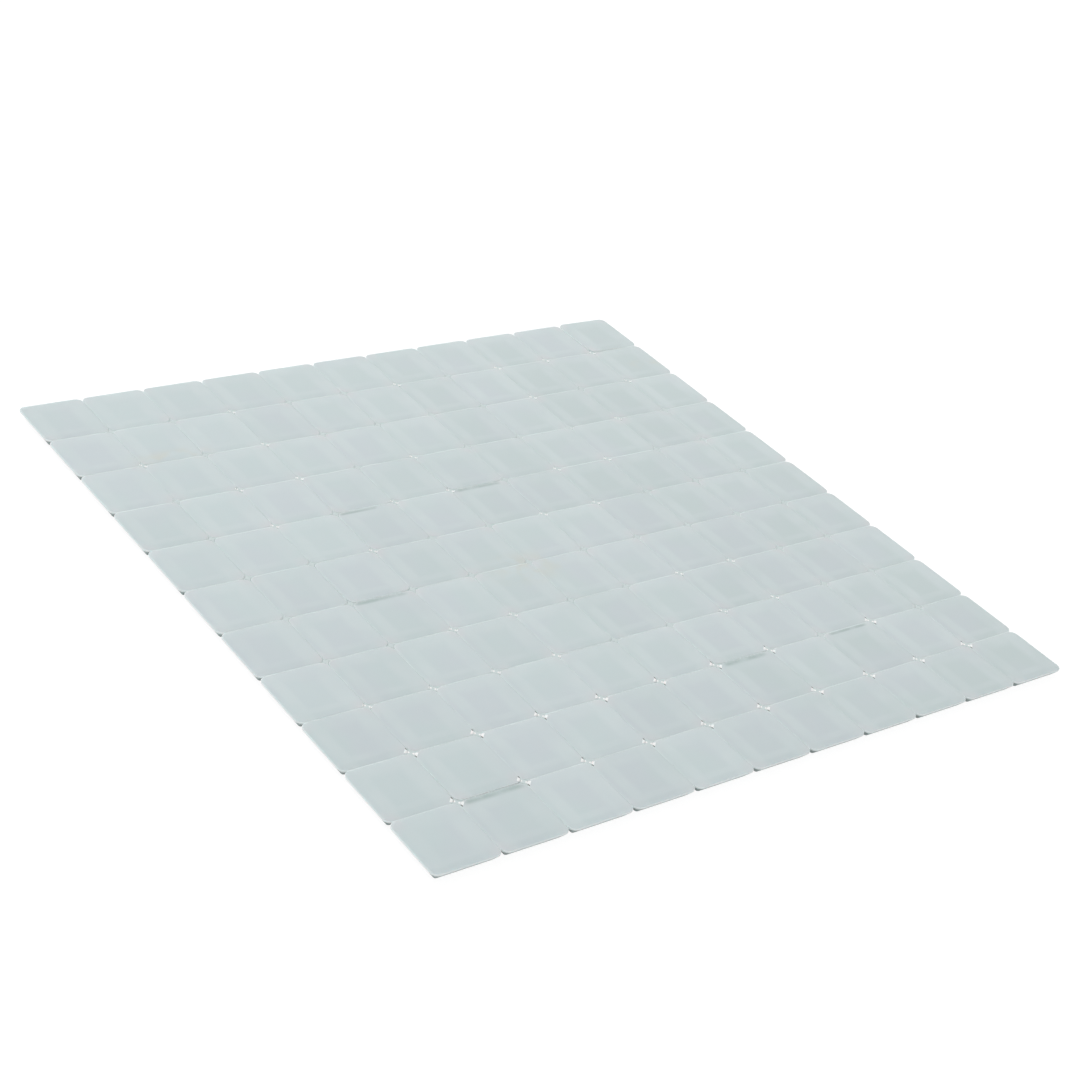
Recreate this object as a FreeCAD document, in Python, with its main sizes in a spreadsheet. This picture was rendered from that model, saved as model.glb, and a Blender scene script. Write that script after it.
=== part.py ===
import FreeCAD, Part
import os
import Sketcher

# Square sheet of glass mosaic: rows of small pressed glass tiles, face up, with an even open
# joint, held together only by flat glue dots on their backs, one at each crossing of the joints
# and one at each end of a joint. Origin at the middle of the sheet on the level that it lies on,
# +X along the rows, +Y from row to row, +Z out of the tiles' faces. Lengths in millimetres.

SIZES = {
    "tiles_per_side": 11,
    # One tile: a nominal inch across its face, pressed with a straight lip and a bevelled back
    "tile_size": 25.4,
    "tile_thickness": 3.2,
    "lip_height": 0.7,
    "bevel_inset": 1.8,
    "corner_radius": 2.5,
    # Open joint between the faces of two tiles
    "joint_width": 0.4,
    # Glue dot, pressed flat against the backs, and how far the outermost dots stay inside the
    # sheet's outline
    "dot_radius": 4.8,
    "dot_thickness": 0.5,
    "dot_edge_margin": 3.5,
}
SHEET_NAME = "sizes"

# Facets that stand for the round of a tile's corner, and sides that stand for a dot's rim
CORNER_FACETS = 2
DOT_SIDES = 12

PITCH = "(sizes.tile_size + sizes.joint_width)"
SHEET_SIDE = "(sizes.tiles_per_side * {} - sizes.joint_width)".format(PITCH)
EDGE_DOT_PLACE = "({} / 2 - sizes.dot_edge_margin - sizes.dot_radius)".format(SHEET_SIDE)
BACK_LEVEL = "sizes.dot_thickness"
TILE_COUNT = "sizes.tiles_per_side"
JOINT_COUNT = "(sizes.tiles_per_side - 1)"

doc = FreeCAD.newDocument("mosaic_tile_sheet")
sheet = doc.addObject("Spreadsheet::Sheet", SHEET_NAME)
for line, (alias, size) in enumerate(SIZES.items(), start=1):
    cell = "A{}".format(line)
    sheet.set(cell, str(size))
    sheet.setAlias(cell, alias)
doc.recompute()


def bind(feature, bindings):
    """Tie a feature's properties to sizes in the sheet."""
    for name, formula in bindings.items():
        feature.setExpression(name, formula)


def origin_feature(body, role):
    """The plane or axis of a body's own origin that has this role."""
    return next(item for item in body.Origin.OriginFeatures if item.Role == role)


def tile_outline(tile):
    """Sketch the outline of a tile on its back, its corners rounded in a few facets."""
    sketch = tile.newObject("Sketcher::SketchObject", "tile_outline")
    sketch.AttachmentSupport = (origin_feature(tile, "XY_Plane"), [""])
    sketch.MapMode = "FlatFace"
    bind(sketch, {"AttachmentOffset.Base.z": BACK_LEVEL})

    reach = "sizes.tile_size / 2 - sizes.corner_radius + sizes.corner_radius * {}({} deg)"
    turns = [90 * step / CORNER_FACETS for step in range(CORNER_FACETS + 1)]
    corner = [(reach.format("cos", turn), reach.format("sin", turn)) for turn in turns]
    first = [
        FreeCAD.Vector(float(sheet.evalExpression(x)), float(sheet.evalExpression(y)), 0)
        for x, y in corner
    ]
    # The other three corners mirror the first, and the points run round the outline
    second = [FreeCAD.Vector(-point.x, point.y, 0) for point in reversed(first)]
    third = [FreeCAD.Vector(-point.x, -point.y, 0) for point in first]
    fourth = [FreeCAD.Vector(point.x, -point.y, 0) for point in reversed(first)]
    points = first + second + third + fourth
    count = len(points)
    for index in range(count):
        sketch.addGeometry(Part.LineSegment(points[index], points[(index + 1) % count]))
    for index in range(count):
        sketch.addConstraint(Sketcher.Constraint("Coincident", index, 2, (index + 1) % count, 1))

    for step, (x, y) in enumerate(corner):
        for kind, formula in (("DistanceX", x), ("DistanceY", y)):
            length = float(sheet.evalExpression(formula))
            number = sketch.addConstraint(Sketcher.Constraint(kind, -1, 1, step, 1, length))
            sketch.setExpression("Constraints[{}]".format(number), formula)
        across = 2 * len(first) - 1 - step
        opposite = 2 * len(first) + step
        below = count - 1 - step
        sketch.addConstraint(Sketcher.Constraint("Symmetric", step, 1, across, 1, -2))
        sketch.addConstraint(Sketcher.Constraint("Symmetric", step, 1, below, 1, -1))
        sketch.addConstraint(Sketcher.Constraint("Symmetric", step, 1, opposite, 1, -1, 1))
    return sketch


def glass_tile():
    """One tile: a blank with a straight edge, its back rim bevelled up to the lip."""
    tile = doc.addObject("PartDesign::Body", "glass_tile")
    blank = tile.newObject("PartDesign::Pad", "tile_blank")
    blank.Profile = tile_outline(tile)
    bind(blank, {"Length": "sizes.tile_thickness"})
    doc.recompute()

    heights = [face.CenterOfMass.z for face in blank.Shape.Faces]
    back = "Face{}".format(heights.index(min(heights)) + 1)
    bevel = tile.newObject("PartDesign::Chamfer", "tile_bevel")
    bevel.Base = (blank, [back])
    bevel.ChamferType = "Two distances"
    bind(bevel, {
        "Size": "sizes.tile_thickness - sizes.lip_height",
        "Size2": "sizes.bevel_inset",
    })
    tile.Tip = bevel
    return tile


def glue_dot():
    """One dot, pressed flat between the backs and the level that the sheet lies on."""
    dot = doc.addObject("PartDesign::Body", "glue_dot")
    disc = dot.newObject("PartDesign::AdditivePrism", "dot_disc")
    disc.Polygon = DOT_SIDES
    bind(disc, {"Circumradius": "sizes.dot_radius", "Height": "sizes.dot_thickness"})
    dot.Tip = disc
    return dot


def run(name, piece, axis, count, aside):
    """A straight run of one piece, a pitch apart along X or Y, set aside from the middle."""
    body = doc.addObject("PartDesign::Body", name)
    body.Label = name
    body.AllowCompound = True
    body.BaseFeature = piece
    doc.recompute()
    pattern = body.newObject("PartDesign::LinearPattern", name + "_run")
    pattern.TransformMode = "Whole shape"
    pattern.Direction = (origin_feature(body, axis + "_Axis"), [""])
    pattern.Mode = "Extent"
    length = "({} - 1) * {}".format(count, PITCH)
    bind(pattern, {"Occurrences": count, "Length": length})
    body.Tip = pattern

    start, across = ("x", "y") if axis == "X" else ("y", "x")
    bind(body, {
        "Placement.Base." + start: "-{} / 2".format(length),
        "Placement.Base." + across: aside,
    })
    return body


tiles = int(sheet.tiles_per_side)
tile = glass_tile()
dot = glue_dot()
doc.recompute()

# Rows of tiles, and rows of dots over the crossings between them, from the near edge (-Y) on
parts = []
for row in range(1, tiles + 1):
    level = "({} - (sizes.tiles_per_side + 1) / 2) * {}".format(row, PITCH)
    parts.append(run("tile_row_{:02d}".format(row), tile, "X", TILE_COUNT, level))
for row in range(1, tiles):
    level = "({} - sizes.tiles_per_side / 2) * {}".format(row, PITCH)
    parts.append(run("dot_row_{:02d}".format(row), dot, "X", JOINT_COUNT, level))

# Dots at the outer ends of the joints, along the sheet's four edges
for name, axis, aside in (
    ("edge_dots_near", "X", "-" + EDGE_DOT_PLACE),
    ("edge_dots_far", "X", EDGE_DOT_PLACE),
    ("edge_dots_left", "Y", "-" + EDGE_DOT_PLACE),
    ("edge_dots_right", "Y", EDGE_DOT_PLACE),
):
    parts.append(run(name, dot, axis, JOINT_COUNT, aside))
doc.recompute()

for item in doc.Objects:
    faults = [state for state in item.State if state in ("Invalid", "Error")]
    if faults:
        raise RuntimeError("{} is {}".format(item.Name, ", ".join(faults)))
for part in parts:
    if part.Shape.isNull() or not part.Shape.isValid():
        raise RuntimeError("{} has no valid shape".format(part.Label))

os.makedirs("parts", exist_ok=True)
for part in parts:
    part.Shape.exportStep("parts/{}.step".format(part.Label))
    print(part.Label, len(part.Shape.Solids), "solids", round(part.Shape.Volume, 1), "mm3")
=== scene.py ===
"""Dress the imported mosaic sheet: frosted pressed-glass tiles held by spots of clear glue.

The sheet lies face up on a white table, seen from above its near left corner.
"""

import logging
import math
import random
from collections.abc import Callable, Iterable
from dataclasses import dataclass, field
from enum import Enum

import bpy
from mathutils import Matrix, Vector


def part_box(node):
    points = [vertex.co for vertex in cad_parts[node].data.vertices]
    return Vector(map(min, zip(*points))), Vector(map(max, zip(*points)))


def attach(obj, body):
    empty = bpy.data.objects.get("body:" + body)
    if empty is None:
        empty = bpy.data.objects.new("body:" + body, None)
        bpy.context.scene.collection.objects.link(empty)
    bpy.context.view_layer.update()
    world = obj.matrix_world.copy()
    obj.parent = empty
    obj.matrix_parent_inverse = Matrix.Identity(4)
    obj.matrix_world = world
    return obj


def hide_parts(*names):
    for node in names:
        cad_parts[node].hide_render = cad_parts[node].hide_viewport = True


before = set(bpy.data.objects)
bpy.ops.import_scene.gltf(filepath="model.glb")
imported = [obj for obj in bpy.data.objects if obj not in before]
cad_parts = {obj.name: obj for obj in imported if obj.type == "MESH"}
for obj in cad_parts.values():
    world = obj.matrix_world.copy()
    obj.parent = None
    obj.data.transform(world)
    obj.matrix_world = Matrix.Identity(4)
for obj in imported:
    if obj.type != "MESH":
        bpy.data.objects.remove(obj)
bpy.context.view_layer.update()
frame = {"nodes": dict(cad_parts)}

LOG = logging.getLogger("mosaic_sheet")
MM = 0.001
BODY = "root"
ROW_NAME = "tile_row_{:02d}"
DOT_ROW_NAME = "dot_row_{:02d}"
TILE_TONE = "tile_tone"
TILE_MAP = "tile_place"
# Face attribute: share of painted light on a tile's sides, and -1 for painted shade on its bevel
# and back
EDGE_LIGHT_SHADE = "edge_light_shade"

# Part of a normal along Z: past the first a face lies flat, from the second down it is a steep
# ring of a rim, and below the third it stands upright
FLAT = 0.9
STEEP = 0.95
UPRIGHT = 0.1
# Share of the half width of a soft band or spot over which it is even
CORE = 0.3
QUARTER_TURN = 90

Color = tuple[float, float, float, float]


class Slot(Enum):
    """Material slots of the record; nothing in this script uses them."""

    TILE_GLASS = "tile_glass"
    GLUE_DOT = "glue_dot"


def paint(red: int, green: int, blue: int) -> Color:
    """Turn a colour as a screen shows it into the renderer's linear one.

    Args:
        red, green, blue: Screen values, 0 to 255.

    Returns:
        The linear colour, with full opacity.
    """
    def linear(value: int) -> float:
        """Linear share of one screen value."""
        share = value / 255
        return share / 12.92 if share <= 0.04045 else ((share + 0.055) / 1.055) ** 2.4

    return linear(red), linear(green), linear(blue), 1.0


class Wiring:
    """Adds nodes to one node tree and links them."""

    def __init__(self, tree: bpy.types.NodeTree) -> None:
        """Empty the tree.

        Args:
            tree: Node tree of a material or of the world.
        """
        self.tree = tree
        tree.nodes.clear()

    def feed(self, socket: bpy.types.NodeSocket, value: object) -> None:
        """Link a socket, or set its number or colour.

        Args:
            socket: Input to fill.
            value: Output socket, number, vector or colour.
        """
        if isinstance(value, bpy.types.NodeSocket):
            self.tree.links.new(value, socket)
        else:
            socket.default_value = value

    def add(self, kind: str, inputs: dict | None = None, **settings: object) -> bpy.types.Node:
        """Add a node.

        Args:
            kind: Type name of the node.
            inputs: Values by the input's name or number.
            **settings: Properties of the node.

        Returns:
            The new node.
        """
        node = self.tree.nodes.new(kind)
        for name, value in settings.items():
            setattr(node, name, value)
        for key, value in (inputs or {}).items():
            self.feed(node.inputs[key], value)
        return node

    def math(self, operation: str, *values: object) -> bpy.types.NodeSocket:
        """Work out a number from one to three others.

        Args:
            operation: Name of the operation.
            *values: Numbers or sockets, in order.

        Returns:
            Socket of the result.
        """
        inputs = dict(enumerate(values))
        return self.add("ShaderNodeMath", inputs, operation=operation).outputs[0]

    def vector(self, operation: str, *values: object) -> bpy.types.NodeSocket:
        """Work out a vector from one or two others.

        Args:
            operation: Name of the operation.
            *values: Vectors or sockets, in order.

        Returns:
            Socket of the result.
        """
        inputs = dict(enumerate(values))
        return self.add("ShaderNodeVectorMath", inputs, operation=operation).outputs[0]

    def axes(self, vector: bpy.types.NodeSocket) -> list[bpy.types.NodeSocket]:
        """Split a vector into its parts along X, Y and Z."""
        return list(self.add("ShaderNodeSeparateXYZ", {0: vector}).outputs)

    def mix(self, share: object, first: object, second: object) -> bpy.types.NodeSocket:
        """Mix two colours.

        Args:
            share: Share of the second colour.
            first, second: Colours or sockets.

        Returns:
            Socket of the mixed colour.
        """
        inputs = {0: share, 6: first, 7: second}
        return self.add("ShaderNodeMix", inputs, data_type="RGBA").outputs[2]

    def fade(self, value: object, start: float, end: float, low: float = 0.0,
             high: float = 1.0) -> bpy.types.NodeSocket:
        """Turn a number into a smooth step.

        Args:
            value: Number that the step follows.
            start, end: Where the step starts and ends.
            low, high: Result before the start and after the end.

        Returns:
            Socket of the step.
        """
        inputs = {"Value": value, "From Min": start, "From Max": end, "To Min": low, "To Max": high}
        node = self.add("ShaderNodeMapRange", inputs, interpolation_type="SMOOTHSTEP")
        return node.outputs["Result"]

    def clouds(self, place: bpy.types.NodeSocket, size: float, detail: float = 2.0,
               shift: float = 0.0) -> bpy.types.NodeSocket:
        """Soft irregular patches.

        Args:
            place: Position that the patches follow.
            size: Width of a patch in metres.
            detail: Octaves of finer patches.
            shift: Moves the pattern, so that two patterns differ.

        Returns:
            Socket with values round 0.5.
        """
        moved = self.vector("ADD", place, (shift,) * 3)
        inputs = {"Vector": moved, "Scale": 1 / size, "Detail": detail, "Roughness": 0.5}
        return self.add("ShaderNodeTexNoise", inputs).outputs["Fac"]


def new_material(name: str) -> tuple[bpy.types.Material, Wiring]:
    """Make an empty node material.

    Args:
        name: Name of the material.

    Returns:
        The material and the wiring of its tree.
    """
    material = bpy.data.materials.new(name)
    material.use_nodes = True
    return material, Wiring(material.node_tree)


def grey(level: float) -> Color:
    """Grey that throws back this share of the light."""
    return level, level, level, 1.0


@dataclass(frozen=True)
class Mottle:
    """Soft irregular patches, as a share between two levels.

    Attributes:
        size: Width of a patch.
        edges: Values of the noise where a patch starts and where it is full.
        levels: Shares outside a patch and inside it.
        detail: Octaves of finer patches.
        shift: Moves the pattern, so that two patterns differ.
    """

    size: float
    edges: tuple[float, float]
    levels: tuple[float, float] = (0.0, 1.0)
    detail: float = 2.0
    shift: float = 0.0

    def share(self, wiring: Wiring, place: bpy.types.NodeSocket,
              more: object = 0.0) -> bpy.types.NodeSocket:
        """Wire the patches.

        Args:
            wiring: Wiring of a material.
            place: Position that the patches follow.
            more: Number or socket that is added to the noise.

        Returns:
            Socket of the share.
        """
        noise = wiring.clouds(place, self.size, self.detail, self.shift)
        return wiring.fade(wiring.math("ADD", noise, more), *self.edges, *self.levels)


@dataclass(frozen=True)
class SheetPlan:
    """Sizes and levels of the sheet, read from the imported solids.

    Attributes:
        rows: Rows of tiles, and tiles in a row.
        tile_side: Side of a tile's face.
        pitch: Distance from tile to tile.
        back_level: Height of the tiles' backs.
        face_level: Height of the tiles' faces.
    """

    rows: int
    tile_side: float
    pitch: float
    back_level: float
    face_level: float

    @classmethod
    def from_frame(cls) -> "SheetPlan":
        """Read the plan from the first two rows of tiles."""
        rows = sum(name.startswith("tile_row_") for name in frame["nodes"])
        first_low, first_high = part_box(ROW_NAME.format(1))
        second_low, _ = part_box(ROW_NAME.format(2))
        return cls(
            rows=rows,
            tile_side=first_high.y - first_low.y,
            pitch=second_low.y - first_low.y,
            back_level=first_low.z,
            face_level=first_high.z,
        )

    @property
    def thickness(self) -> float:
        """Thickness of a tile."""
        return self.face_level - self.back_level

    @property
    def half_side(self) -> float:
        """Half the side of the sheet, out to the middle of a joint with the next sheet."""
        return self.rows / 2 * self.pitch

    def tile_place(self, index: int) -> float:
        """Centre of a tile along its row, or of a row, counted from 0."""
        return (index - (self.rows - 1) / 2) * self.pitch

    def joint_place(self, index: int) -> float:
        """Middle of a joint between two tiles, counted from 0."""
        return (index - (self.rows - 2) / 2) * self.pitch

    def from_crossing(self, wiring: Wiring,
                      place: bpy.types.NodeSocket) -> list[bpy.types.NodeSocket]:
        """Distances along X and Y from the nearest crossing of two joints.

        Args:
            wiring: Wiring of a material.
            place: Position on the sheet.

        Returns:
            Sockets of the two distances in metres.
        """
        asides = []
        for part in wiring.axes(place)[:2]:
            pitches = wiring.math("ADD", wiring.math("DIVIDE", part, self.pitch), self.rows)
            share = wiring.math("SUBTRACT", wiring.math("FRACT", pitches), 0.5)
            asides.append(wiring.math("MULTIPLY", share, self.pitch))
        return asides

    def away_from_crossing(self, wiring: Wiring,
                           place: bpy.types.NodeSocket) -> bpy.types.NodeSocket:
        """Distance from the nearest crossing of two joints.

        Args:
            wiring: Wiring of a material.
            place: Position on the sheet.

        Returns:
            Socket of the distance in metres.
        """
        asides = self.from_crossing(wiring, place)
        squares = [wiring.math("MULTIPLY", aside, aside) for aside in asides]
        return wiring.math("SQRT", wiring.math("ADD", *squares))


@dataclass(frozen=True)
class GlintWedges:
    """Painted highlights as white wedges on the corners beside a crossing, with painted shade
    lines.

    A wedge starts at the crossing and widens toward the near right or the far left, and a dark
    line runs beside it. The wedges are long and at nearly every crossing in the first lines from
    the near side, and shorter and rarer beyond. None is at the sheet's edge. Distances from a
    crossing are taken along X less along Y.

    Attributes:
        plan: Sizes of the sheet.
        start: Distances from the crossing where a wedge fades in.
        end: Distances from the crossing where it fades out.
        slope: Half the width of a wedge, as a share of the distance.
        soft: Width of its soft edge.
        line_slope: Where the dark line runs, as the same share.
        line_half: Half widths of the line where it is gone and where it is full.
        long_lines: Lines of crossings with long wedges.
        shorter: How much shorter the other wedges are.
        rarer: Share of the other wedges that is missing.
        faint: Share of the wedges that is faint.
    """

    plan: SheetPlan
    start: tuple[float, float] = (0.6 * MM, 0.8 * MM)
    end: tuple[float, float] = (3.2 * MM, 3.0 * MM)
    slope: float = 0.45
    soft: float = 0.15 * MM
    line_slope: float = 0.65
    line_half: tuple[float, float] = (0.5 * MM, 0.25 * MM)
    long_lines: int = 2
    shorter: float = 0.9 * MM
    rarer: float = 0.5
    faint: float = 0.15

    def crossings(self, wiring: Wiring,
                  place: bpy.types.NodeSocket) -> tuple[bpy.types.NodeSocket, ...]:
        """Which crossings have wedges, and which lie beyond the lines with long ones.

        Args:
            wiring: Wiring of a material.
            place: Position on the sheet.

        Returns:
            Sockets that are 1 round crossings with wedges, and round those beyond.
        """
        pitches = wiring.vector("MULTIPLY", place, (1 / self.plan.pitch,) * 3)
        cell = wiring.vector("FLOOR", pitches)
        chance = wiring.add("ShaderNodeTexWhiteNoise", {"Vector": cell}).outputs["Value"]
        column, row, _ = wiring.axes(cell)
        beyond = wiring.math("GREATER_THAN", row, self.long_lines - self.plan.rows / 2)
        left_over = wiring.math("MULTIPLY_ADD", beyond, -self.rarer, chance)
        there = wiring.fade(left_over, 0.0, self.faint)
        for number in (column, row):
            from_middle = wiring.math("ABSOLUTE", wiring.math("ADD", number, 0.5))
            inside = wiring.math("LESS_THAN", from_middle, (self.plan.rows - 1) / 2)
            there = wiring.math("MULTIPLY", there, inside)
        return there, beyond

    def shares(self, wiring: Wiring,
               place: bpy.types.NodeSocket) -> tuple[bpy.types.NodeSocket, ...]:
        """Where the painted highlight wedges and their painted shade lines are.

        Args:
            wiring: Wiring of a material.
            place: Position on the sheet.

        Returns:
            Sockets that are 1 on the wedges and on the dark lines.
        """
        x, y = self.plan.from_crossing(wiring, place)
        to_right = wiring.math("SUBTRACT", x, y)
        apart = wiring.math("ABSOLUTE", to_right)
        up = wiring.math("MULTIPLY", wiring.math("ADD", x, y), wiring.math("SIGN", to_right))
        height = wiring.math("MULTIPLY_ADD", apart, -self.slope, wiring.math("ABSOLUTE", up))
        line = wiring.math("ABSOLUTE", wiring.math("MULTIPLY_ADD", apart, self.line_slope, up))

        there, beyond = self.crossings(wiring, place)
        reach = wiring.math("MULTIPLY_ADD", beyond, self.shorter, apart)
        there = wiring.math("MULTIPLY", there, wiring.fade(reach, *self.end))
        there = wiring.math("MULTIPLY", there, wiring.fade(apart, *self.start))
        white = wiring.math("MULTIPLY", there, wiring.fade(height, self.soft, 0.0))
        dark = wiring.math("MULTIPLY", there, wiring.fade(line, *self.line_half))
        return white, dark


@dataclass(frozen=True)
class OpalGlass:
    """Frosted opal glass, pale sea green, with milky patches and glue showing through.

    Attributes:
        plan: Sizes of the sheet.
        body: Colour of most of a tile at the sheet's left side.
        body_right_shaded: The same at its right side, in painted shade where the lamp falls off.
        lilac: Colour of the cooler patches.
        milk_and_light: Colour of the paler rims, partly the glass's own and partly painted light.
        glued: Colour over the spots of glue.
        warm_tint: Colour of the faint warm patches.
        edge: Colour of the sides, near white as painted light that lifts the shade in the
        joints and stands in for light shining through the glass's edges.
        under: Colour of the painted shade on the bevel and the back, in shade under the lip.
        shade: Colour of the painted shade along the near side, whose rim faces away from the lamp.
        wedge: Colour of the painted highlights, the white wedges at the crossings.
        glint_shade: Colour of the painted shade lines beside them.
        patches: The cooler patches.
        cooler: What is added to their noise at the near side and at the far side.
        frame: Middle, half width and strength of the paler band along the left, right, near and
        far side, measured from that side; partly painted light, widest on the lit far side.
        broken: How the paler bands come and go.
        near_shade_band: Middle, half width and strength of the painted shade along the near side.
        glow_radius: How far the glue shows through from a crossing.
        uneven: How strongly it shows through.
        warm_patches: Centre and half size of each warm patch, in tiles from the near left corner.
        warm_raggedness: Ragged strength of the warm patches.
        streak_shadow: Colour of the painted shadow streaks.
        streaks: Centre and half size of each painted shadow streak along a joint, where a raised
            tile shades its neighbour, in the same way.
        streak_core: Share of a streak's length over which it is even.
        torn: Ragged strength of the streaks.
        tones: Brightness of the darkest and of the lightest tile.
        swell_size: Width of the slow waves of the face.
        grain_size: Width of the frosting's grain.
        grain_share: Height of the grain, as a share of the waves'.
        polish: Roughness of the face.
    """

    plan: SheetPlan
    body: Color = paint(198, 210, 211)
    body_right_shaded: Color = paint(195, 207, 207)
    lilac: Color = paint(199, 207, 211)
    milk_and_light: Color = paint(204, 214, 215)
    glued: Color = paint(206, 210, 212)
    warm_tint: Color = paint(202, 205, 197)
    edge: Color = paint(238, 250, 251)
    under: Color = paint(186, 199, 198)
    shade: Color = paint(185, 198, 197)
    wedge: Color = paint(250, 255, 255)
    glint_shade: Color = paint(100, 105, 103)
    patches: Mottle = Mottle(30 * MM, (0.42, 0.66), (0.0, 0.7))
    cooler: tuple[float, float] = (0.06, -0.02)
    frame: tuple[tuple[float, float, float], ...] = (
        (4.0 * MM, 3.6 * MM, 0.75),
        (3.7 * MM, 5.4 * MM, 0.8),
        (3.8 * MM, 2.2 * MM, 0.5),
        (1.4 * MM, 6.3 * MM, 0.6),
    )
    broken: Mottle = Mottle(18 * MM, (0.38, 0.62), (0.45, 1.0), shift=0.7)
    near_shade_band: tuple[float, float, float] = (1.9 * MM, 1.4 * MM, 0.1)
    glow_radius: float = 7 * MM
    uneven: Mottle = Mottle(12 * MM, (0.35, 0.65), (0.1, 0.7), shift=1.9)
    warm_patches: tuple[tuple[float, float, float, float], ...] = (
        (1.5, 9.1, 0.9, 0.25),
        (4.9, 4.9, 0.9, 0.5),
        (10.7, 9.4, 0.5, 0.2),
    )
    warm_raggedness: Mottle = Mottle(9 * MM, (0.4, 0.6), (0.0, 0.7), 4.0, 3.1)
    streak_shadow: Color = paint(165, 181, 179)
    # Painted shadow: dark streaks along joints where a raised tile shades its neighbour.
    streaks: tuple[tuple[float, float, float, float], ...] = (
        (1.52, 0.945, 0.5, 0.075),
        (5.45, 6.95, 0.45, 0.06),
        (3.35, 6.95, 0.35, 0.05),
        (2.45, 4.95, 0.45, 0.06),
        (6.5, 1.95, 0.42, 0.07),
        (8.5, 1.96, 0.4, 0.045),
    )
    streak_core: float = 0.75
    torn: Mottle = Mottle(6 * MM, (0.3, 0.6), (0.4, 0.85), 3.0, 4.3)
    tones: tuple[float, float] = (0.985, 1.015)
    swell_size: float = 9 * MM
    grain_size: float = 0.5 * MM
    grain_share: float = 0.05
    polish: Mottle = Mottle(14 * MM, (0.3, 0.7), (0.55, 0.65), 3.0, 7.7)

    def side_distances(self, wiring: Wiring) -> list[bpy.types.NodeSocket]:
        """Distances from the left, right, near and far side of the tile.

        Args:
            wiring: Wiring of the material.

        Returns:
            Sockets of the four distances in metres.
        """
        tile_map = wiring.add("ShaderNodeUVMap", uv_map=TILE_MAP)
        shares = []
        for part in wiring.axes(tile_map.outputs[0])[:2]:
            shares += [part, wiring.math("SUBTRACT", 1.0, part)]
        return [wiring.math("MULTIPLY", share, self.plan.tile_side) for share in shares]

    @staticmethod
    def band(wiring: Wiring, distance: bpy.types.NodeSocket,
             place: tuple[float, float, float]) -> bpy.types.NodeSocket:
        """A soft band along a side of the tile.

        Args:
            wiring: Wiring of the material.
            distance: Distance from that side.
            place: Middle of the band, half its width, and its value in the middle.

        Returns:
            Socket that is 0 outside the band.
        """
        middle, half, strength = place
        aside = wiring.math("ABSOLUTE", wiring.math("SUBTRACT", distance, middle))
        return wiring.fade(aside, half, CORE * half, high=strength)

    def spot_share(self, wiring: Wiring, place: bpy.types.NodeSocket,
              spot: tuple[float, float, float, float], core: float) -> bpy.types.NodeSocket:
        """Strength of one warm patch or one streak of painted shadow.

        Args:
            wiring: Wiring of the material.
            place: Position on the sheet.
            spot: Centre and half size, in tiles from the near left corner.
            core: Share of its length over which it is even.

        Returns:
            Socket that is 1 in the middle of the patch or streak and 0 outside it.
        """
        half = self.plan.rows / 2
        centre = [(value - half) * self.plan.pitch for value in spot[:2]]
        reach = [value * self.plan.pitch for value in spot[2:]]
        mapping = wiring.add("ShaderNodeMapping", {
            "Vector": place,
            "Location": (-centre[0] / reach[0], -centre[1] / reach[1], 0.0),
            "Scale": (1 / reach[0], 1 / reach[1], 0.0),
        })
        parts = wiring.axes(mapping.outputs[0])[:2]
        along, across = (wiring.math("ABSOLUTE", part) for part in parts)
        return wiring.math("MULTIPLY", wiring.fade(along, 1.0, core), wiring.fade(across, 1.0, 0.0))

    def tinted_and_shadowed(self, wiring: Wiring, place: bpy.types.NodeSocket,
                color: bpy.types.NodeSocket) -> bpy.types.NodeSocket:
        """Add the warm patches and the streaks of painted shadow.

        Args:
            wiring: Wiring of the material.
            place: Position on the sheet.
            color: Colour without them.

        Returns:
            Socket of the colour with them.
        """
        for spots, core, ragged, tint in (
            (self.warm_patches, 0.0, self.warm_raggedness, self.warm_tint),
            (self.streaks, self.streak_core, self.torn, self.streak_shadow),
        ):
            for spot in spots:
                strength = self.spot_share(wiring, place, spot, core)
                share = wiring.math("MULTIPLY", strength, ragged.share(wiring, place))
                color = wiring.mix(share, color, tint)
        return color

    def color(self, wiring: Wiring, place: bpy.types.NodeSocket) -> bpy.types.NodeSocket:
        """Wire the colour of the glass.

        Args:
            wiring: Wiring of the material.
            place: Position on the sheet.

        Returns:
            Socket of the colour.
        """
        x, y, _ = wiring.axes(place)
        # Painted shade: the body darkens toward the right side, where the lamp's light falls off.
        to_right = wiring.fade(x, -self.plan.half_side, self.plan.half_side)
        body = wiring.mix(to_right, self.body, self.body_right_shaded)
        cooler = wiring.fade(y, -self.plan.half_side, self.plan.half_side, *self.cooler)
        color = wiring.mix(self.patches.share(wiring, place, cooler), body, self.lilac)

        sides = self.side_distances(wiring)
        # Paler bands round each tile: partly the glass's own milky rim, partly painted light from
        # the lamp and from light shining through the thinner edges.
        left, right, near, far = (self.band(wiring, *pair) for pair in zip(sides, self.frame))
        ends, flanks = wiring.math("MAXIMUM", near, far), wiring.math("MAXIMUM", left, right)
        pale = wiring.math("MAXIMUM", flanks, ends)
        pale = wiring.math("MULTIPLY", pale, self.broken.share(wiring, place))
        color = wiring.mix(pale, color, self.milk_and_light)
        # Painted shade along each tile's near side, whose rim faces away from the lamp.
        color = wiring.mix(self.band(wiring, sides[2], self.near_shade_band), color, self.shade)

        away = self.plan.away_from_crossing(wiring, place)
        glow = wiring.fade(away, self.glow_radius, CORE * self.glow_radius)
        glow = wiring.math("MULTIPLY", glow, self.uneven.share(wiring, place))
        color = wiring.mix(glow, color, self.glued)
        color = self.tinted_and_shadowed(wiring, place, color)

        # Painted highlights at the crossings, with painted shade lines beside them.
        white, dark = GlintWedges(self.plan).shares(wiring, place)
        color = wiring.mix(dark, color, self.glint_shade)
        color = wiring.mix(white, color, self.wedge)

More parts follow.
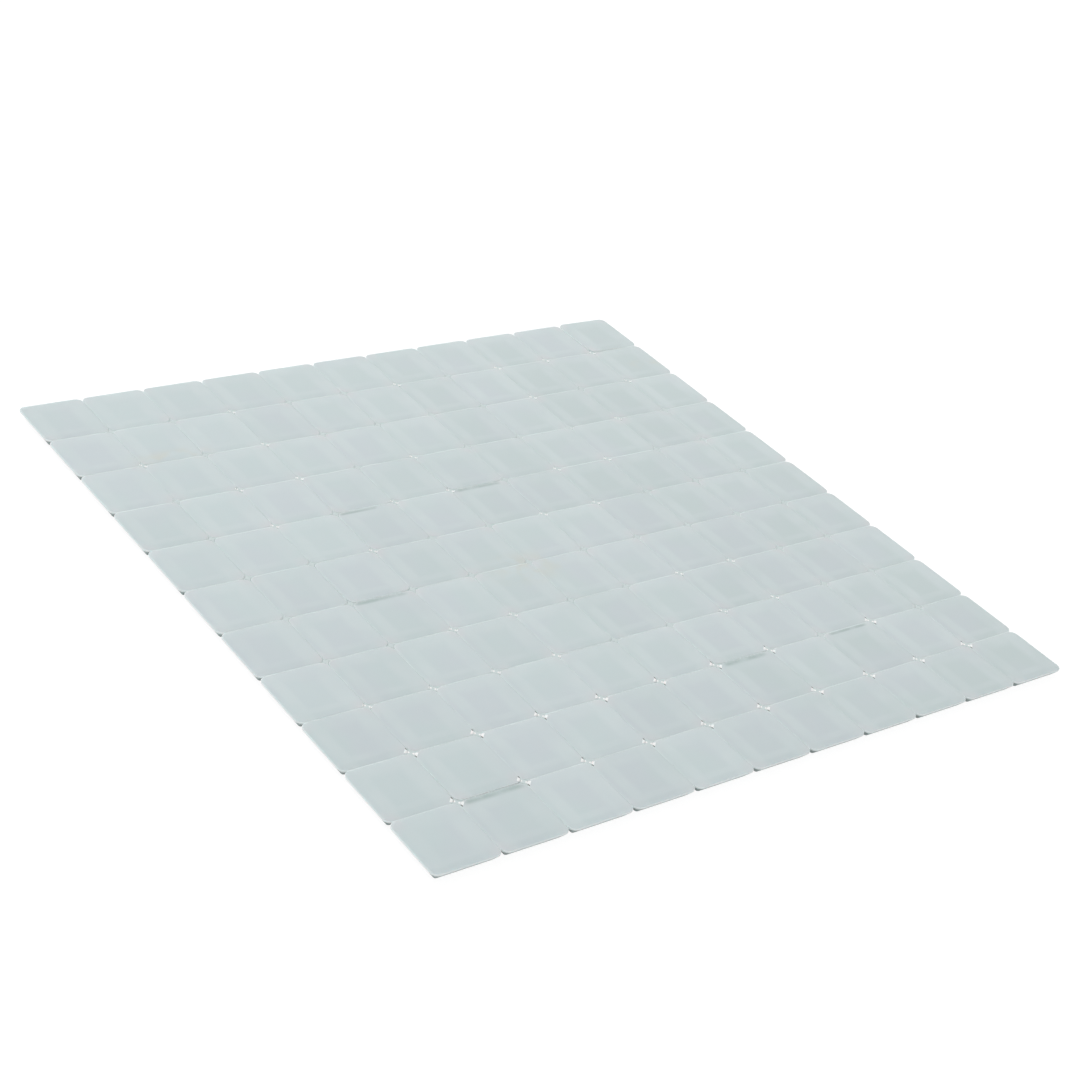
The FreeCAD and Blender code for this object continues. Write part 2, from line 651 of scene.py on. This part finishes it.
        tone = wiring.add("ShaderNodeAttribute", attribute_name=TILE_TONE).outputs["Fac"]
        inputs = {0: color, 3: wiring.fade(tone, 0.0, 1.0, *self.tones)}
        color = wiring.add("ShaderNodeVectorMath", inputs, operation="SCALE").outputs[0]
        # Painted light on the sides: near white on the lip and the steep rings, more where they
        # face near or far.
        edge = wiring.add("ShaderNodeAttribute", attribute_name=EDGE_LIGHT_SHADE).outputs["Fac"]
        color = wiring.mix(edge, color, self.edge)
        # Painted shade on the bevel and the back, where the attribute is -1.
        return wiring.mix(wiring.math("MULTIPLY", edge, -1.0), color, self.under)

    def material(self) -> bpy.types.Material:
        """Make the material."""
        material, wiring = new_material("opal_glass")
        place = wiring.add("ShaderNodeTexCoord").outputs["Object"]
        swell = wiring.clouds(place, self.swell_size, detail=1.0, shift=5.3)
        grain = wiring.math("MULTIPLY", wiring.clouds(place, self.grain_size), self.grain_share)
        height = wiring.math("ADD", swell, grain)
        inputs = {"Strength": 0.25, "Distance": 0.25 * MM, "Height": height}
        bump = wiring.add("ShaderNodeBump", inputs)
        shader = wiring.add("ShaderNodeBsdfPrincipled", {
            "Base Color": self.color(wiring, place),
            "Roughness": self.polish.share(wiring, place),
            "Normal": bump.outputs[0],
            "IOR": 1.5,
            "Specular IOR Level": 0.2,
            "Subsurface Weight": 1.0,
            "Subsurface Radius": (0.9, 1.0, 1.0),
            "Subsurface Scale": 1.2 * MM,
        })
        wiring.add("ShaderNodeOutputMaterial", {"Surface": shader.outputs[0]})
        return material


@dataclass(frozen=True)
class ClearGlue:
    """Set hot glue: clear at the foot, a little milky and uneven, and cloudy where it stands up.

    Attributes:
        plan: Sizes of the sheet.
        clear: Colour of the clear part.
        milky: Colour of the milky streaks.
        streaks: Where those are.
        roughness: Roughness outside the streaks and in them.
        cloudy: Colour of what stands up between the tiles.
        cloud_rise: Height above the backs over which the glue turns cloudy.
        cloud_reach: Distances from a crossing where it is clear again and still cloudy.
        swell_size: Width of the dents in the glue.
    """

    plan: SheetPlan
    clear: Color = paint(254, 254, 253)
    milky: Color = paint(246, 246, 245)
    streaks: Mottle = Mottle(2.5 * MM, (0.4, 0.65), detail=3.0)
    roughness: tuple[float, float] = (0.35, 0.5)
    cloudy: Color = paint(200, 211, 211)
    cloud_rise: float = 0.5 * MM
    cloud_reach: tuple[float, float] = (3.2 * MM, 2.8 * MM)
    swell_size: float = 1.5 * MM

    def material(self) -> bpy.types.Material:
        """Make the material."""
        material, wiring = new_material("clear_glue")
        place = wiring.add("ShaderNodeTexCoord").outputs["Object"]
        streaks = self.streaks.share(wiring, place)
        swell = wiring.clouds(place, self.swell_size, shift=2.2)
        inputs = {"Strength": 0.4, "Distance": 0.2 * MM, "Height": swell}
        bump = wiring.add("ShaderNodeBump", inputs)
        start = self.plan.back_level
        stands = wiring.fade(wiring.axes(place)[2], start, start + self.cloud_rise)
        near = wiring.fade(self.plan.away_from_crossing(wiring, place), *self.cloud_reach)
        # Painted highlight: under the crossing glints the glue stays clear white instead of cloudy.
        white, _ = GlintWedges(self.plan).shares(wiring, place)
        color = wiring.mix(streaks, self.clear, self.milky)
        cloudy = wiring.mix(white, self.cloudy, color)
        shader = wiring.add("ShaderNodeBsdfPrincipled", {
            "Base Color": wiring.mix(wiring.math("MULTIPLY", stands, near), color, cloudy),
            "Roughness": wiring.fade(streaks, 0.0, 1.0, *self.roughness),
            "Normal": bump.outputs[0],
            "IOR": 1.45,
            "Subsurface Weight": 0.2,
            "Subsurface Radius": (1.0, 1.0, 1.0),
            "Subsurface Scale": 0.5 * MM,
        })
        wiring.add("ShaderNodeOutputMaterial", {"Surface": shader.outputs[0]})
        return material


def select_only(pieces: Iterable[bpy.types.Object]) -> None:
    """Select these objects and no others, and make the first one active.

    Args:
        pieces: Objects to select.
    """
    bpy.ops.object.select_all(action="DESELECT")
    for number, piece in enumerate(pieces):
        piece.select_set(True)
        if number == 0:
            bpy.context.view_layer.objects.active = piece


def pick_faces(piece: bpy.types.Object, wanted: Callable[[bpy.types.MeshPolygon], bool]) -> None:
    """Select only the wanted faces of the piece that is being shaped.

    Args:
        piece: Active object, in edit mode.
        wanted: Says of a face whether it is wanted.
    """
    bpy.ops.mesh.select_all(action="DESELECT")
    bpy.ops.object.mode_set(mode="OBJECT")
    bpy.context.tool_settings.mesh_select_mode = (False, False, True)
    for face in piece.data.polygons:
        face.select = wanted(face)
    bpy.ops.object.mode_set(mode="EDIT")


def pick_edges(piece: bpy.types.Object, wanted: Callable[[Vector, Vector], bool]) -> None:
    """Select only the wanted edges of the piece that is being shaped.

    Args:
        piece: Active object, in edit mode.
        wanted: Says of an edge's two ends whether it is wanted.
    """
    bpy.ops.mesh.select_all(action="DESELECT")
    bpy.ops.object.mode_set(mode="OBJECT")
    bpy.context.tool_settings.mesh_select_mode = (False, True, False)
    corners = piece.data.vertices
    for edge in piece.data.edges:
        edge.select = wanted(*(corners[index].co for index in edge.vertices))
    bpy.ops.object.mode_set(mode="EDIT")


def copy_of(master: bpy.types.Object, place: Matrix) -> bpy.types.Object:
    """Copy an object with a mesh of its own.

    Args:
        master: Object to copy.
        place: Where the copy's mesh goes.

    Returns:
        The copy, with its object at the origin.
    """
    copy = master.copy()
    copy.data = master.data.copy()
    copy.data.transform(place)
    bpy.context.scene.collection.objects.link(copy)
    return copy


def join_as(name: str, copies: list[bpy.types.Object]) -> bpy.types.Object:
    """Join copies into one piece.

    Args:
        name: Name of the piece.
        copies: Objects to join.

    Returns:
        The piece.
    """
    select_only(copies)
    bpy.ops.object.join()
    piece = bpy.context.object
    piece.name = name
    piece.data.name = name
    return piece


def finish_piece(piece: bpy.types.Object, node: str,
                 material: bpy.types.Material) -> None:
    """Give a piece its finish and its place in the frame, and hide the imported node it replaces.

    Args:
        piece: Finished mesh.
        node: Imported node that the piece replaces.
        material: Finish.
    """
    piece.data.materials.clear()
    piece.data.materials.append(material)
    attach(piece, BODY)
    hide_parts(node)
    LOG.info("%s: %d faces", piece.name, len(piece.data.polygons))


@dataclass(frozen=True)
class Seat:
    """How one tile lies differently from its neighbours.

    Attributes:
        lift: Height that its middle is raised.
        left_up: Turn that raises its left side, in degrees.
        near_up: Turn that raises its near side, in degrees.
    """

    lift: float = 0.0
    left_up: float = 0.0
    near_up: float = 0.0


@dataclass
class TileRows:
    """The rows of pressed glass tiles.

    Attributes:
        plan: Sizes of the sheet.
        finish: Glass of the tiles.
        lip_height: Straight edge round a tile.
        bevel_inset: How far the bevel takes the back in from the face.
        corner_radius: Round of a tile's corners.
        corner_steps: Facets of that round.
        swell: How far the fire-polished lip swells out past the edge of the face.
        rim_steps: Inset and rise of each ring of the fire-polished rim.
        groove_places: Middles of the grooves across the back.
        groove_width: Width of a groove.
        groove_depth: Depth of a groove.
        groove_end: How far a groove's end stays from the middle of the tile.
        lit_edge_shares: Share of the painted light on the lip, and on the steep rings of the rim at
        the near side, at the left and right, and at the far side.
        round_angle: Largest angle between two facets that look like one round, in degrees.
        shift: Spread of the tiles' places.
        yaw, tilt: Spread of their turns, in degrees.
        seats: Tiles that sit differently, by column and row from the near left corner.
        seed: Start of the random numbers.
    """

    plan: SheetPlan
    finish: OpalGlass
    lip_height: float = 0.7 * MM
    bevel_inset: float = 1.8 * MM
    corner_radius: float = 2.5 * MM
    corner_steps: int = 4
    swell: float = 0.17 * MM
    rim_steps: tuple[tuple[float, float], ...] = (
        (0.05 * MM, 0.08 * MM),
        (0.1 * MM, 0.04 * MM),
        (0.8 * MM, 0.03 * MM),
        (1.4 * MM, 0.08 * MM),
    )
    groove_places: tuple[float, ...] = (-7.5 * MM, -2.5 * MM, 2.5 * MM, 7.5 * MM)
    groove_width: float = 1.8 * MM
    groove_depth: float = 0.3 * MM
    groove_end: float = 10 * MM
    lit_edge_shares: tuple[float, float, float, float] = (1.0, 0.6, 0.25, 0.5)
    round_angle: float = 36.0
    shift: float = 0.015 * MM
    yaw: float = 0.04
    tilt: float = 0.12
    seats: dict[tuple[int, int], Seat] = field(default_factory=lambda: {
        (10, 10): Seat(0.2 * MM, 0.8, 0.0),
        (1, 1): Seat(0.1 * MM, 0.0, 0.5),
        (5, 7): Seat(0.08 * MM, 0.0, 0.35),
        (3, 7): Seat(0.05 * MM, 0.0, 0.2),
        (2, 5): Seat(0.06 * MM, 0.0, 0.3),
        (6, 2): Seat(0.08 * MM, 0.0, 0.35),
    })
    seed: int = 11

    def blank(self) -> bpy.types.Object:
        """Shape the straight lip with its round corners."""
        rise = sum(step for _, step in self.rim_steps)
        lip = self.lip_height - rise
        side = self.plan.tile_side + 2 * self.swell
        bpy.ops.object.select_all(action="DESELECT")
        bpy.ops.mesh.primitive_cube_add(size=1)
        tile = bpy.context.object
        bpy.ops.object.mode_set(mode="EDIT")
        bpy.ops.transform.resize(value=(side, side, lip))
        bpy.ops.transform.translate(value=(0, 0, self.plan.face_level - rise - lip / 2))
        pick_edges(tile, lambda first, second: abs(first.z - second.z) > lip / 2)
        radius = self.corner_radius + self.swell
        bpy.ops.mesh.bevel(offset=radius, segments=self.corner_steps, affect="EDGES")
        return tile

    def round_rim(self, tile: bpy.types.Object) -> None:
        """Round the rim of the face.

        Args:
            tile: Tile in edit mode.
        """
        pick_faces(tile, lambda face: face.normal.z > FLAT)
        for inset, rise in self.rim_steps:
            bpy.ops.mesh.inset(thickness=inset, depth=rise)

    def press_back(self, tile: bpy.types.Object) -> None:
        """Bevel the back and press grooves across it.

        Args:
            tile: Tile in edit mode.
        """
        pick_faces(tile, lambda face: face.normal.z < -FLAT)
        inset = self.bevel_inset + self.swell
        bpy.ops.mesh.inset(thickness=inset, depth=self.plan.thickness - self.lip_height)

        half = self.groove_width / 2
        cuts = [
            Vector((place + side, 0, 0)) for place in self.groove_places for side in (-half, half)
        ]
        cuts += [Vector((0, side, 0)) for side in (-self.groove_end, self.groove_end)]
        for cut in cuts:
            pick_faces(tile, lambda face: face.normal.z < -FLAT)
            bpy.ops.mesh.bisect(plane_co=cut, plane_no=(1, 0, 0) if cut.x else (0, 1, 0))

        def in_groove(face: bpy.types.MeshPolygon) -> bool:
            """Whether a face of the back is the floor of a groove."""
            across = min(abs(face.center.x - place) for place in self.groove_places)
            along = abs(face.center.y)
            return face.normal.z < -FLAT and across < half and along < self.groove_end

        pick_faces(tile, in_groove)
        depth = self.groove_depth
        bpy.ops.mesh.inset(thickness=depth, depth=-depth, use_individual=True)

    def map_tile(self, tile: bpy.types.Object) -> None:
        """Lay the map that says where on its tile a point is.

        Args:
            tile: Finished tile, in object mode.
        """
        layer = tile.data.uv_layers.active or tile.data.uv_layers.new()
        layer.name = TILE_MAP
        for loop in tile.data.loops:
            corner = tile.data.vertices[loop.vertex_index].co
            layer.data[loop.index].uv = [value / self.plan.tile_side + 0.5 for value in corner.xy]

    def mark_light_and_shade(self, tile: bpy.types.Object) -> None:
        """Mark the sides' share of painted light, and with -1 the painted shade of bevel and back.

        Args:
            tile: Finished tile, in object mode.
        """
        lip, near, side, far = self.lit_edge_shares
        share = tile.data.attributes.new(EDGE_LIGHT_SHADE, "FLOAT", "FACE")
        for index, face in enumerate(tile.data.polygons):
            steepness = face.normal.z
            if steepness < -UPRIGHT:
                share.data[index].value = -1.0
            elif steepness < UPRIGHT:
                share.data[index].value = lip
            elif steepness < STEEP:
                facing = -face.normal.y / math.sqrt(1 - steepness ** 2)
                end = near if facing > 0 else far
                share.data[index].value = side + (end - side) * abs(facing)

    def master(self) -> bpy.types.Object:
        """Model one tile at the middle of the sheet."""
        tile = self.blank()
        self.round_rim(tile)
        self.press_back(tile)
        bpy.ops.object.mode_set(mode="OBJECT")
        select_only([tile])
        bpy.ops.object.shade_smooth_by_angle(angle=math.radians(self.round_angle))
        self.map_tile(tile)
        self.mark_light_and_shade(tile)
        return tile

    def place(self, column: int, row: int, chance: random.Random) -> Matrix:
        """Where a tile goes, a little out of line as on a sheet laid up by hand.

        Args:
            column, row: The tile, counted from the near left corner.
            chance: Random numbers.

        Returns:
            Transform of the tile's mesh.
        """
        seat = self.seats.get((column, row), Seat())
        aside = [chance.uniform(-self.shift, self.shift) for _ in range(2)]
        turns = [chance.uniform(-spread, spread) for spread in (self.tilt, self.tilt, self.yaw)]
        middle = Vector((0, 0, self.plan.face_level))
        turn = (
            Matrix.Rotation(math.radians(turns[2]), 4, "Z")
            @ Matrix.Rotation(math.radians(turns[1] + seat.left_up), 4, "Y")
            @ Matrix.Rotation(math.radians(turns[0] - seat.near_up), 4, "X")
        )
        at = Vector((
            self.plan.tile_place(column) + aside[0],
            self.plan.tile_place(row) + aside[1],
            self.plan.face_level + seat.lift,
        ))
        return Matrix.Translation(at) @ turn @ Matrix.Translation(-middle)

    def build(self) -> None:
        """Model the rows and dress them."""
        material = self.finish.material()
        tile = self.master()
        chance = random.Random(self.seed)
        for row in range(self.plan.rows):
            copies = []
            for column in range(self.plan.rows):
                copy = copy_of(tile, self.place(column, row, chance))
                tone = copy.data.attributes.new(TILE_TONE, "FLOAT", "POINT")
                tone.data.foreach_set("value", [chance.random()] * len(copy.data.vertices))
                copies.append(copy)
            name = "glass_row_{:02d}".format(row + 1)
            finish_piece(join_as(name, copies), ROW_NAME.format(row + 1), material)
        bpy.data.objects.remove(tile)


@dataclass
class GlueDots:
    """The spots of glue on the tiles' backs, pressed flat and squeezed up in the open crossings.

    Attributes:
        plan: Sizes of the sheet.
        finish: Glue.
        radius: Radius of a dot.
        sides: Facets round a dot.
        foot_share: Radius on the table, as a share of the dot's.
        rim: Inset and rise of the round at the dot's edge.
        mound: Inset and rise of each ring of the glue that stands up in a crossing.
        pinch: Share of its width that the mound keeps between its four arms in the joints.
        arm_angle: Half the angle that an arm takes, in degrees.
        round_angle: Largest angle between two facets that look like one round, in degrees.
        spread: How much narrower a dot may be, as a share.
        seed: Start of the random numbers.
    """

    plan: SheetPlan
    finish: ClearGlue
    radius: float = 4.8 * MM
    sides: int = 12
    foot_share: float = 0.93
    rim: tuple[float, float] = (0.2 * MM, 0.05 * MM)
    mound: tuple[tuple[float, float], ...] = (
        (2.3 * MM, 0.0),
        (0.05 * MM, 2.85 * MM),
        (0.15 * MM, 0.15 * MM),
    )
    pinch: float = 0.52
    arm_angle: float = 5.0
    round_angle: float = 50.0
    spread: float = 0.1
    seed: int = 5

    def master(self, rings: tuple[tuple[float, float], ...]) -> bpy.types.Object:
        """Model one dot at the middle of the sheet.

        Args:
            rings: Inset and rise of each ring above the backs.

        Returns:
            The dot.
        """
        bpy.ops.object.select_all(action="DESELECT")
        bpy.ops.mesh.primitive_circle_add(
            vertices=self.sides, radius=self.radius * self.foot_share, fill_type="NGON"
        )
        dot = bpy.context.object
        bpy.ops.object.mode_set(mode="EDIT")
        step = (self.plan.back_level - self.rim[1]) / 2
        for share in (1 / self.foot_share, 1.0):
            bpy.ops.mesh.extrude_region_move(TRANSFORM_OT_translate={"value": (0, 0, step)})
            bpy.ops.transform.resize(value=(share, share, 1))
        for inset, rise in (self.rim, *rings):
            bpy.ops.mesh.inset(thickness=inset, depth=rise)
        bpy.ops.mesh.poke()
        bpy.ops.mesh.select_all(action="SELECT")
        bpy.ops.mesh.normals_make_consistent(inside=False)
        bpy.ops.object.mode_set(mode="OBJECT")
        if rings:
            self.draw_in(dot, self.radius - self.rim[0] - rings[0][0] / 2)
        select_only([dot])
        bpy.ops.object.shade_smooth_by_angle(angle=math.radians(self.round_angle))
        return dot

    def draw_in(self, dot: bpy.types.Object, reach: float) -> None:
        """Draw a mound in between its arms.

        Args:
            dot: Dot with a mound, in object mode.
            reach: Radius that the mound stays inside.
        """
        for corner in dot.data.vertices:
            turn = math.degrees(math.atan2(corner.co.y, corner.co.x)) % QUARTER_TURN
            between = self.arm_angle < turn < QUARTER_TURN - self.arm_angle
            if corner.co.xy.length < reach and between:
                corner.co.xy *= self.pinch

    def lines(self) -> dict[str, list[Vector]]:
        """Middles of the dots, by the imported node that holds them."""
        crossings = [self.plan.joint_place(index) for index in range(self.plan.rows - 1)]
        low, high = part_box("edge_dots_near")
        aside = abs(low.y + high.y) / 2
        lines = {
            DOT_ROW_NAME.format(number + 1): [Vector((x, y, 0)) for x in crossings]
            for number, y in enumerate(crossings)
        }
        lines["edge_dots_near"] = [Vector((x, -aside, 0)) for x in crossings]
        lines["edge_dots_far"] = [Vector((x, aside, 0)) for x in crossings]
        lines["edge_dots_left"] = [Vector((-aside, y, 0)) for y in crossings]
        lines["edge_dots_right"] = [Vector((aside, y, 0)) for y in crossings]
        return lines

    def build(self) -> None:
        """Model the dots and dress them."""
        material = self.finish.material()
        risen, flat = self.master(self.mound), self.master(())
        chance = random.Random(self.seed)
        for node, middles in self.lines().items():
            dot = flat if node.startswith("edge") else risen
            copies = []
            for middle in middles:
                turn = math.radians(QUARTER_TURN) * chance.randrange(4)
                shape = Matrix.Diagonal((1 - chance.uniform(0, self.spread), 1, 1, 1))
                place = Matrix.Translation(middle) @ Matrix.Rotation(turn, 4, "Z") @ shape
                copies.append(copy_of(dot, place))
            name = node.replace("dot_row", "glue_row").replace("edge_dots", "edge_glue")
            finish_piece(join_as(name, copies), node, material)
        for dot in (risen, flat):
            bpy.data.objects.remove(dot)


def seen_rays(wiring: Wiring) -> bpy.types.NodeSocket:
    """Socket that is 1 for rays that the eye follows, straight, mirrored or through glass.

    Args:
        wiring: Wiring of a material or of the world.

    Returns:
        The socket.
    """
    path = wiring.add("ShaderNodeLightPath").outputs
    mirrored = wiring.math("MAXIMUM", path["Is Glossy Ray"], path["Is Transmission Ray"])
    return wiring.math("MAXIMUM", path["Is Camera Ray"], mirrored)


@dataclass(frozen=True)
class WhiteTable:
    """Matt white table top, white to the eye, that still takes the sheet's shadow.

    Attributes:
        level: Height of the table top, just under the glue.
        reflectance: How much of the light it throws back on the sheet.
        own_light: Part of its look that no shadow darkens.
        shadow_share: Part of its look that shadows darken.
    """

    level: float = -0.05 * MM
    reflectance: float = 0.8
    own_light: float = 0.93
    shadow_share: float = 0.14

    def material(self) -> bpy.types.Material:
        """Make the material."""
        material, wiring = new_material("white_table")
        seen = seen_rays(wiring)
        lit = wiring.add("ShaderNodeBsdfDiffuse", {"Color": grey(self.reflectance)})
        shaded = wiring.add("ShaderNodeBsdfDiffuse", {"Color": grey(self.shadow_share)})
        glow = wiring.add("ShaderNodeEmission", {"Strength": self.own_light})
        look = wiring.add("ShaderNodeAddShader", {0: shaded.outputs[0], 1: glow.outputs[0]})
        inputs = {0: seen, 1: lit.outputs[0], 2: look.outputs[0]}
        both = wiring.add("ShaderNodeMixShader", inputs)
        wiring.add("ShaderNodeOutputMaterial", {"Surface": both.outputs[0]})
        return material


@dataclass(frozen=True)
class Viewpoint:
    """The camera, by its bearing and its place from the middle of the sheet.

    Attributes:
        heading, tilt, roll: Bearing in degrees.
        place: Distance along X, along Y and above the faces, in tiles.
        lens: Focal length in millimetres.
        film_width: Width of the picture in the camera, in millimetres.
        sight: Nearest and farthest distance that it sees.
    """

    heading: float = -43.216
    tilt: float = 59.001
    roll: float = 13.095
    place: tuple[float, float, float] = (-17.971, -19.212, 15.772)
    lens: float = 70.854
    film_width: float = 36.0
    sight: tuple[float, float] = (0.01, 100.0)

    def set_up(self, plan: SheetPlan) -> None:
        """Put the camera in the scene.

        Args:
            plan: Sizes of the sheet.
        """
        data = bpy.data.cameras.new("camera")
        data.sensor_width = self.film_width
        data.lens = self.lens
        data.clip_start, data.clip_end = self.sight
        camera = bpy.data.objects.new("camera", data)
        turns = ((self.heading, "Z"), (self.tilt, "X"), (self.roll, "Z"))
        bearing = Matrix.Identity(4)
        for turn, axis in turns:
            bearing = bearing @ Matrix.Rotation(math.radians(turn), 4, axis)
        at = Vector(self.place) * plan.pitch + Vector((0, 0, plan.face_level))
        camera.matrix_world = Matrix.Translation(at) @ bearing
        bpy.context.scene.collection.objects.link(camera)
        bpy.context.scene.camera = camera


@dataclass(frozen=True)
class Studio:
    """Table, room and lamp.

    Attributes:
        table: Finish of the table top.
        table_side: Side of the table top.
        fill: Light of the room.
        lamp_place: Place of the lamp.
        lamp_side: Side of the lamp's soft box.
        lamp_power: Power of the lamp in watts.
    """

    table: WhiteTable = WhiteTable()
    table_side: float = 12.0
    fill: float = 0.608
    lamp_place: tuple[float, float, float] = (-0.7, 3.5, 4.1)
    lamp_side: float = 2.6
    lamp_power: float = 157.0

    def lay_table(self) -> None:
        """Lay the table top under the sheet."""
        bpy.ops.object.select_all(action="DESELECT")
        bpy.ops.mesh.primitive_plane_add(size=self.table_side, location=(0, 0, self.table.level))
        top = bpy.context.object
        top.name = "table_top"
        top.data.materials.append(self.table.material())

    def light_room(self) -> None:
        """Light the room evenly; it looks white."""
        world = bpy.data.worlds.new("room")
        bpy.context.scene.world = world
        world.use_nodes = True
        wiring = Wiring(world.node_tree)
        strength = wiring.math("MULTIPLY_ADD", seen_rays(wiring), 1 - self.fill, self.fill)
        room = wiring.add("ShaderNodeBackground", {"Color": grey(1.0), "Strength": strength})
        wiring.add("ShaderNodeOutputWorld", {"Surface": room.outputs[0]})

    def hang_lamp(self) -> None:
        """Hang the soft box above the far left corner."""
        data = bpy.data.lights.new("soft_box", "AREA")
        data.size = self.lamp_side
        data.energy = self.lamp_power
        lamp = bpy.data.objects.new("soft_box", data)
        place = Vector(self.lamp_place)
        aim = (-place).to_track_quat("-Z", "Y").to_matrix().to_4x4()
        lamp.matrix_world = Matrix.Translation(place) @ aim
        bpy.context.scene.collection.objects.link(lamp)

    def set_up(self) -> None:
        """Set up the studio."""
        self.lay_table()
        self.light_room()
        self.hang_lamp()
        bpy.context.scene.view_settings.view_transform = "Standard"


def main() -> None:
    """Build the dressed sheet and the studio round it."""
    logging.basicConfig(level=logging.INFO, format="%(message)s")
    plan = SheetPlan.from_frame()
    TileRows(plan, OpalGlass(plan)).build()
    GlueDots(plan, ClearGlue(plan)).build()
    Studio().set_up()
    Viewpoint().set_up(plan)


if __name__ == "__main__":
    main()
